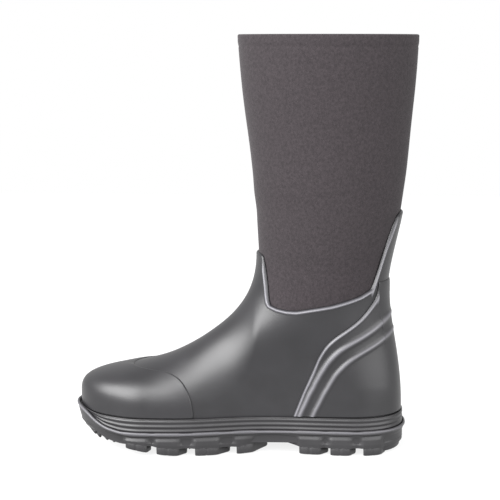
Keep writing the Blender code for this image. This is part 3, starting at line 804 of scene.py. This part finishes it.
def band_sheets():
    """From the inside of the tray's lip over it and down the ribbed wall."""
    u = sole_columns(BAND_COLUMNS)
    s = plan(u, np.full(BAND_COLUMNS, BAND_OUT))[:, 0]
    top, foot = band_top(s), outsole_top(s) + GAP
    visible = np.clip(rand_top(s), foot, top - 2)
    share = np.concatenate([np.linspace(0, 1, 44), [1.4, 2.2]])[:, None]
    shown = top - LIP - share * (top - LIP - visible)
    hidden = visible - (share - 1) / 1.2 * (visible - foot)
    ribs = 0.65 * (0.5 + 0.5 * np.cos(2 * np.pi * (share - 0.16) * BAND_RIBS))
    ribs = ribs * smoothstep(share, 0, 0.1)
    ribs = ribs * smoothstep(s, 18, 34) * (share <= 1)
    turn = np.linspace(0, np.pi / 2, 6)[:, None]
    lip = walls(u, BAND_OUT - LIP + LIP * np.sin(turn) + 0 * s, top - LIP + LIP * np.cos(turn))
    wall = walls(u, BAND_OUT - 0.35 + ribs - 0.2, np.where(share <= 1, shown, hidden))
    inner = walls(u, np.full((2, 1), OVERLAY_IN), np.stack([foot, top]))
    return np.concatenate([inner, lip, wall])


sponge = rubber(
    "moulded sponge rubber", (0.0065, 0.0062, 0.0070), (0.0105, 0.0100, 0.0113), 0.46
)
midsole = made("midsole_ribbed_band", [(band_sheets(), True, True, True)], sponge.material)
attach(midsole, "root")
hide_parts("midsole")

# ---- Outsole ---------------------------------------------------------
# One moulding of black rubber: a plate, a rand with a rounded wavy lip that rises into the toe
# bumper, and the tread. The tread's blocks and bars are pieces of the same moulding.

RAND_COLUMNS = 700
RAND_ROWS = 60
FILL_ROWS = 24
LIP_ROUND = 1.5

# Tread blocks at the edge: side (1 outer), start and end on the edge as distances behind the toe,
# then the other corners as distances behind the toe and to the outer side
EDGE_LUGS = [
    (1, 36.5, 52.5, [(49, 25.5), (62.5, 6.5), (51, 3), (38.5, 11.5), (33.5, 20)]),
    (1, 67, 91.5, [(83.5, 34.5), (95, 15.5), (87.5, 9), (71, 21), (62.5, 29.5)]),
    (1, 108.5, 134, [(123, 39), (132.5, 21), (121.5, 15.5), (110, 24.5), (99.5, 36.5)]),
    (1, 147.5, 169, [(160.5, 41.5), (168, 27), (157, 23), (148, 28.5), (138, 40.5)]),
    (-1, 54, 75, [(77, -44), (66.5, -29), (52, -28), (59, -37.5)]),
    (-1, 83, 104, [(111, -43), (98.5, -27.5), (78, -30.5), (88, -45.5)]),
    (-1, 118.5, 140.5, [(150.5, -35), (142.5, -22), (121.5, -27), (126.5, -41.5)]),
    (-1, 156.5, 173, [(184.5, -14.5), (173.5, -5), (158.5, -11.5), (165.5, -27)]),
    (1, 214.5, 233, [(243.5, 30), (244.5, 18), (228.5, 11.5), (228, 27)]),
    (1, 244.5, 262.5, [(269.5, 30.5), (264.5, 15.5), (249, 15), (252, 30)]),
    (1, 275.5, 291, [(295.5, 29), (289, 16.5), (272.5, 14.5), (279.5, 30)]),
    (-1, 214.5, 235, [(242.5, -31.5), (237, -13.5), (226.5, -12.5), (228.5, -30)]),
    (-1, 243.5, 262.5, [(268, -33), (263, -16.5), (249, -16.5), (252.5, -33)]),
    (-1, 274, 291.5, [(295.5, -26.5), (287, -16), (274, -16.5), (279.5, -31)]),
]


def draw_in(points):
    """How far the sole's underside draws in at the arch, more on the inner side."""
    inner = 8 * bell_of(points[:, 0] - 190, 19)
    outer = 3 * bell_of(points[:, 0] - 198, 22)
    return np.where(points[:, 1] < 0, inner, outer)


def lug_waves(u, s):
    """1 over the edge lugs and 0 between them, round the outline."""
    side = np.where(u <= 0.5, 1, -1)
    wave = np.zeros_like(s)
    for lug_side, start, end, _ in EDGE_LUGS:
        over = smoothstep(s, start - 5, start + 2) * (1 - smoothstep(s, end - 2, end + 5))
        wave = np.maximum(wave, np.where(side == lug_side, over, 0))
    return wave


def underside(s):
    """Height of the plate's underside, which the tread hangs from."""
    return spring(s) + tread_depth(s) + arch(s)


def rand_sheets():
    """The rand from inside its lip, over it and down to the plate's edge, then the plate.

    The lip is a half-round ridge. Below it the wall steps in, dips between the lugs and swells
    over each lug, so that the step runs in waves; round the toe it is one full bumper.
    """
    u = sole_columns(RAND_COLUMNS)
    at = plan(u, np.full(RAND_COLUMNS, 8.0))
    s = at[:, 0]
    lug = lug_waves(u, s)
    toe = 1 - smoothstep(s - NOSE, 0, 45)
    low = underside(s)
    lip = rand_top(s) + 0.35 * (lug - 0.5) * (1 - toe) * smoothstep(s, 40, 60)
    share = np.linspace(0, 1, RAND_ROWS)[:, None]
    below = share * (lip - low)
    lip_round = LIP_ROUND * quarter_round(below, LIP_ROUND)
    step = smoothstep(below, 1.7 + 1.4 * lug, 4.0 + 1.4 * lug) * (1.3 - 0.5 * toe)
    dip = np.sin(np.pi * np.clip((below - 3) / (lip - low - 2), 0, 1)) ** 2
    hollow = 1.9 * (1 - lug) * (1 - toe) * dip
    swell = 1.1 * lug * (1 - toe) * smoothstep(below, 5, 9)
    draw = draw_in(at) * smoothstep(share, 0.3, 1) + toe * 5.0 * share**1.5
    tuck = 1.2 * smoothstep(share, 0.78, 1.0) * (1 - 0.8 * lug)
    out = RAND_OUT + 0.5 * toe - lip_round - step - hollow + swell - draw - tuck
    inside = np.array([[5.6], [5.6], [6.2]])
    inner = walls(u, inside, np.stack([lip - 12, lip - 0.9, lip - 0.1]))
    wall = walls(u, out, lip - below)
    crest = bell_of(below - 1.3, 1.1) * (0.55 + 0.25 * toe)
    fill = np.linspace(1, 0, FILL_ROWS + 1)[1:, None, None]
    across = wall[-1] * [1, 0, 0] + wall[-1] * [0, 1, 0] * fill
    across[..., 2] = underside(across[..., 0])
    raised = np.pad(crest, ((len(inner), FILL_ROWS), (0, 0)))
    return np.concatenate([inner, wall, across]), raised


# Blocks away from the edge, as corners
INNER_LUGS = [
    [(60, -3.5), (70, -2.5), (87.5, -19), (73, -22.5)],
    [(94, 4.5), (104.5, 8), (131, -16.5), (116, -20)],
    [(133.5, 11.5), (139.5, 14.5), (168, 1), (153, -8)],
    [(243.5, 8.5), (254.5, 9.5), (253, -0.5), (256, -10), (244.5, -10), (240.5, -1)],
    [(270.5, 10.5), (286, 9), (293, 0.5), (286, -8.5), (270.5, -10), (268.5, -0.5)],
]
LUG_COLUMNS = 100
LUG_FACE_RINGS = 21
# The outer side of an edge block: share of the way along it, mm out from the edge
FACETS = [(0, -0.9), (0.14, 0.5), (0.44, 0.9), (0.5, -0.3), (0.56, 0.9), (0.86, 0.5), (1, -0.9)]


def resampled(points, count, closed):
    """Points at even steps along a line of corners, a closed one taken all the way round."""
    points = np.array(points, float)
    if closed:
        points = np.concatenate([points, points[:1]])
    run = run_along(points)
    wanted = np.arange(count) / (count if closed else count - 1) * run[-1]
    return np.stack([np.interp(wanted, run, axis) for axis in points.T], -1), run[-1]


def off_line(points, ends):
    """Signed distance from the line through two ends, and the share of the way along it."""
    first, second = np.array(ends, float)
    length = np.linalg.norm(second - first)
    along = (second - first) / length
    gap = points - first
    return gap[..., 0] * along[1] - gap[..., 1] * along[0], gap @ along / length


def lug_sheet(corners, crease, bevel, sipes):
    """One block as rings drawn in from its rounded outline: down the wall, then over its face.

    Beyond the crease line the face slopes up by bevel mm per mm; crease and sipes are grooves.
    """
    outline, around = resampled(corners, LUG_COLUMNS, True)
    soft = 0.9 / around * LUG_COLUMNS
    outline = np.stack([smooth_ring(axis, soft) for axis in outline.T], -1)
    middle = outline.mean(axis=0)
    arm = outline - middle
    length = np.linalg.norm(arm, axis=1, keepdims=True)
    rings = [middle + arm * (1 - inward / length) for inward in (1.4, 0.0, 0.1, 0.35, 0.8)]
    shares = np.linspace(1, 0, LUG_FACE_RINGS + 1)[1:]
    rings = np.stack(rings + [middle + (rings[-1] - middle) * share for share in shares])
    ground = spring(rings[..., 0])
    gap, _ = off_line(rings, crease)
    ground = ground + bevel * np.clip(gap, 0, None) + 0.7 * bell_of(gap, 0.7) * (bevel > 0)
    for ends in sipes:
        gap, share = off_line(rings, ends)
        ground = ground + 1.2 * bell_of(gap, 0.55) * (np.abs(share - 0.5) < 0.5)
    high = underside(rings[..., 0])
    ground[0] = high[0] + 3.5
    ground[1] = high[1] - 0.5
    ground[2] += 1.0
    ground[3] += 0.3
    return np.concatenate([rings, ground[..., None]], -1)


def edge_lug(side, start, end, others):
    """A block at the edge: its outer side has two facets that meet in a vertical crease."""
    fine = np.linspace(0, 0.5, 400) if side > 0 else np.linspace(1, 0.5, 400)
    edge = plan(fine, np.full(400, RAND_OUT - 0.9))
    edge[:, 1] -= side * draw_in(edge)
    share, out = np.array(FACETS).T
    s = start + share * (end - start)
    outer = np.stack([s, np.interp(s, edge[:, 0], edge[:, 1]) + side * out], -1)
    crease = (others[0], others[-1]) if side > 0 else (others[-1], others[0])
    middle = np.mean(others[1:-1], axis=0)
    tip = (np.array(others[0]) + others[-1]) / 2
    sipe = [(tip + 0.35 * (middle - tip), tip + 0.95 * (middle - tip))]
    return lug_sheet(np.concatenate([outer, others]), crease, 0.1, sipe)


def bar_sheet(points, half, rise, ribs=0, square=4.0, steps=None, soft=2.5):
    """A bar swept along a path under the plate, closed above, with round ends.

    Its section is (1 - |x|^square)^(1 / square). ribs slanting waves run along it, like the lay
    of a rope.
    """
    line, length = resampled(points, 400, False)
    line = np.stack([softened(axis, soft, length / 399) for axis in line.T], -1)
    steps = steps or int(max(20, length, ribs * 9))
    line, length = resampled(line, steps, False)
    along = np.gradient(line, axis=0)
    along /= np.linalg.norm(along, axis=1, keepdims=True)
    beside = np.stack([-along[:, 1], along[:, 0]], -1)[:, None]
    run = np.linspace(0, length, steps)[:, None]
    close = np.clip(1 - np.minimum(run, length - run) / half, 0, 1)
    taper = np.sqrt(1 - close**2)
    x = np.sin(np.linspace(-np.pi / 2, np.pi / 2, 15))[None, :]
    lay = 0.09 * (ribs > 0) * (np.cos(2 * np.pi * (ribs * run / length + 0.3 * x)) - 1)
    height = rise(line[:, 0])[:, None] if callable(rise) else rise
    section = (1 - np.abs(x) ** square) ** (1 / square)
    height = height * section * np.minimum(taper * 1.6, 1) * (1 + lay)
    low = line[:, None] + beside * x[..., None] * half * taper[..., None]
    low = np.concatenate([low, (underside(low[..., 0]) - height)[..., None]], -1)
    high = low[:, ::-7].copy()
    high[..., 2] = underside(high[..., 0]) + 0.8
    return np.concatenate([low, high], axis=1)


# The sole's ribbed bars between the blocks: path, half width, depth, ribs, softness
ROPE_BARS = [
    ([(66.5, 11.5), (88, -7), (116, -32.5)], 4.7, 7.4, 13, 2.5),
    ([(98, 23.5), (124, 2), (158, -22.5)], 4.7, 7.4, 14, 2.5),
    ([(140.5, 24), (160, 9), (183.5, -10.5)], 4.4, 7.4, 11, 2.5),
    ([(270.5, 19), (261, 10), (257.5, 1), (261, -9), (269.5, -18.5)], 4.3, 7.4, 11, 4),
    ([(290, 16.5), (298, 9), (300.5, 0.5), (298, -7), (290, -13)], 4.1, 7.4, 10, 4),
    ([(39, 5), (56, -13), (74.5, -32)], 1.8, 6.2, 0, 2.5),
    ([(42.5, -2), (40, -12), (51, -23.5), (62.5, -22.5)], 1.1, 5.0, 0, 3),
]
TOE_RIBS = [
    [(11, 15), (9.5, 2), (12, -14), (17, -26), (23, -34)],
    [(16, 24), (14.5, 8), (17, -14), (22, -30), (28, -38.5)],
    [(22.5, 30), (21, 10), (23.5, -14), (29, -31), (35.5, -42)],
    [(30, 35), (28, 14), (30, -12), (35, -31), (42.5, -45)],
]
# Pairs of fine ribs in the channels between the edge blocks
CHANNELS = [
    [(59, 33), (66, 21), (76, 11)],
    [(97, 38), (103, 25), (113, 15)],
    [(139.5, 43), (143, 31), (152, 21)],
    [(79, -49), (82, -38), (95, -24)],
    [(111, -48), (116, -38), (128, -25)],
    [(146, -42), (152, -33), (160, -24)],
]


def toe_rib_depth(s):
    """Depth of the toe ribs, which grow out of the bumper."""
    return tread_depth(s) * 0.78 * smoothstep(s, 10, 30)


def tread_bars():
    """The tread's bars and ribs, from the toe ribs to the heel's rim."""
    bars = [bar_sheet(*bar[:4], soft=bar[4]) for bar in ROPE_BARS]
    for share in np.linspace(0.15, 0.85, 6):
        start = np.array([43.5, -6]) + share * np.array([17, -17])
        bars.append(bar_sheet([start, start + [-3.5, -6.5]], 0.55, 4.2))
    bars += [bar_sheet(line, 1.7, toe_rib_depth, square=3.0, soft=8) for line in TOE_RIBS]
    for line in CHANNELS:
        for shift in (-1.5, 1.5):
            bars.append(bar_sheet(np.array(line, float) + [shift, 0], 0.6, 3.0, square=2.0))
    turn = np.linspace(0, 2 * np.pi, 60)[:, None]
    oval = np.array([200.0, 8.0]) + np.cos(turn) * [9.4, -12.0] + np.sin(turn) * [13.5, 10.0]
    bars.append(bar_sheet(oval, 0.8, 0.8, square=2.0, steps=150, soft=0.5))
    bars.append(bar_sheet([(197.5, 37), (218, 9.5), (242.5, -21)], 1.2, 1.6, square=2.0))
    for shift in (6, 10, 14):
        line = [(176 - shift, -12), (196 - shift * 0.6, -20), (222, -24 - shift * 0.4)]
        bars.append(bar_sheet(line, 0.5, 0.6, square=2.0))
    for place in range(6):
        start = np.array([187.0 + 4.2 * place, 33 - 0.8 * place])
        bars.append(bar_sheet([start, start + [-3, -6]], 0.6, 0.9, square=2.0))
    for inset in (5.5, 8.5):
        heel = plan(np.linspace(0.41, 0.59, 120), np.full(120, RAND_OUT - inset))
        bars.append(bar_sheet(heel, 0.8, 5.5, square=3.0, steps=160))
    return bars


def inner_lug(corners):
    """A block away from the edge, with two sipes across its middle."""
    middle = np.mean(corners, axis=0)
    lean = np.array([3.0, 2.0]) if middle[0] < 200 else np.array([4.5, 0.0])
    sipes = [(middle - lean + [0.8, -1], middle + lean + [0.8, -1])]
    sipes += [(middle - lean, middle + lean + [0, 1])]
    return lug_sheet(corners, (corners[0], corners[1]), 0.0, sipes)


tread = rubber(
    "moulded outsole rubber", (0.0062, 0.0059, 0.0067), (0.0105, 0.0100, 0.0112), 0.48
)
sheets, raised = rand_sheets()
outsole = made("outsole_rand_and_plate", [(sheets, True, False, True)], tread.material, [raised])
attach(outsole, "root")
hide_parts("outsole")
hanging = [edge_lug(*lug) for lug in EDGE_LUGS]
hanging += [inner_lug(corners) for corners in INNER_LUGS] + tread_bars()
lugs = made("outsole_tread", [(sheet, True, False, True) for sheet in hanging], tread.material)
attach(lugs, "root")

# ---- Insole ----------------------------------------------------------
# A 4 mm foam footbed with a fabric face, lying loose in the sock.

FOOTBED_COLUMNS = 240
FOOTBED_CLEAR = 0.4
# The footbed's rim, then its flat: share of the way out from its middle, rise above the bed
RIM = [(1, 0.3), (1, 3.2), (0.985, 4.0), (0.96, 4.3)]
FLAT = [(share, 4.4) for share in np.linspace(0.92, 0, 22)]


def footbed_sheets():
    """Rings drawn in from the sock's lining to the middle of the bed, its rim rounded."""
    u = sole_columns(FOOTBED_COLUMNS)
    edge = plan(u, np.full(FOOTBED_COLUMNS, -WALL - FOOTBED_CLEAR))
    middle = np.stack([edge[:, 0], 0 * edge[:, 1] - 2], -1)
    share, rise = np.array(RIM + FLAT).T[..., None]
    rings = middle + (edge - middle) * share[..., None]
    cup = 2.0 * share**4
    z = bed(rings[..., 0]) + rise + cup * (rise > 1)
    return np.concatenate([rings, z[..., None]], -1)


cloth = Look("dark footbed cloth", Roughness=0.9)
weave = cloth.noise(700, 2.0, 0.5)
cloth.set("Base Color", cloth.between(weave, (0.030, 0.029, 0.031), (0.062, 0.060, 0.064)))
cloth.bump(weave, 0.0003, 0.8)
footbed = made("footbed", [(footbed_sheets(), True, False, True)], cloth.material)
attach(footbed, "root")
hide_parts("insole")

# ---- Floor, light and camera -----------------------------------------
# A white floor, white all round, a large soft box in front of the toe and a weaker one in front of
# the heel, and a long lens held a little above the boot.

CAMERA_PLACE = Vector((0.0877, -1.1858, 0.3782))
CAMERA_TARGET = Vector((0.006, 0, 0.186))
LENS = 92.0
FLOOR_GREY = (0.12, 0.12, 0.12)
FLOOR_GLOW = 0.82


def placed(name, data, place, target=None):
    """An object at a place, with its -Z axis towards a target if it has one."""
    thing = bpy.data.objects.new(name, data)
    thing.location = place
    if target is not None:
        way = Vector(target) - Vector(place)
        thing.rotation_euler = way.to_track_quat("-Z", "Y").to_euler()
    bpy.context.scene.collection.objects.link(thing)
    return thing


def soft_box(name, place, target, size, power):
    """A rectangular area light of this size in metres and power in watts."""
    lamp = bpy.data.lights.new(name, "AREA")
    lamp.shape = "RECTANGLE"
    lamp.size, lamp.size_y = size
    lamp.energy = power
    placed(name, lamp, place, target)


soft_box("front soft box", (-1.25, -1.25, 1.35), (0, 0, 0.12), (2.2, 2.0), 250)
soft_box("heel soft box", (1.7, -1.3, 0.9), (0, 0, 0.15), (2.6, 2.2), 95)

floor_mesh = bpy.data.meshes.new("floor")
floor_mesh.from_pydata([(-2, -2, 0), (2, -2, 0), (2, 2, 0), (-2, 2, 0)], [], [(0, 1, 2, 3)])
floor = placed("floor", floor_mesh, (0, 0, 0))
pale = Look("white floor", Roughness=0.9)
pale.set("Base Color", FLOOR_GREY)
pale.set("Emission Color", (1, 1, 1))
pale.set("Emission Strength", FLOOR_GLOW)
floor_mesh.materials.append(pale.material)

world = bpy.data.worlds.new("white room")
world.use_nodes = True
background = world.node_tree.nodes["Background"]
background.inputs["Color"].default_value = (1, 1, 1, 1)
background.inputs["Strength"].default_value = 1.0
bpy.context.scene.world = world
bpy.context.scene.view_settings.view_transform = "Standard"

camera_data = bpy.data.cameras.new("camera")
camera_data.lens = LENS
camera_data.sensor_width = 36
camera_data.clip_end = 30
bpy.context.scene.camera = placed("camera", camera_data, CAMERA_PLACE, CAMERA_TARGET)
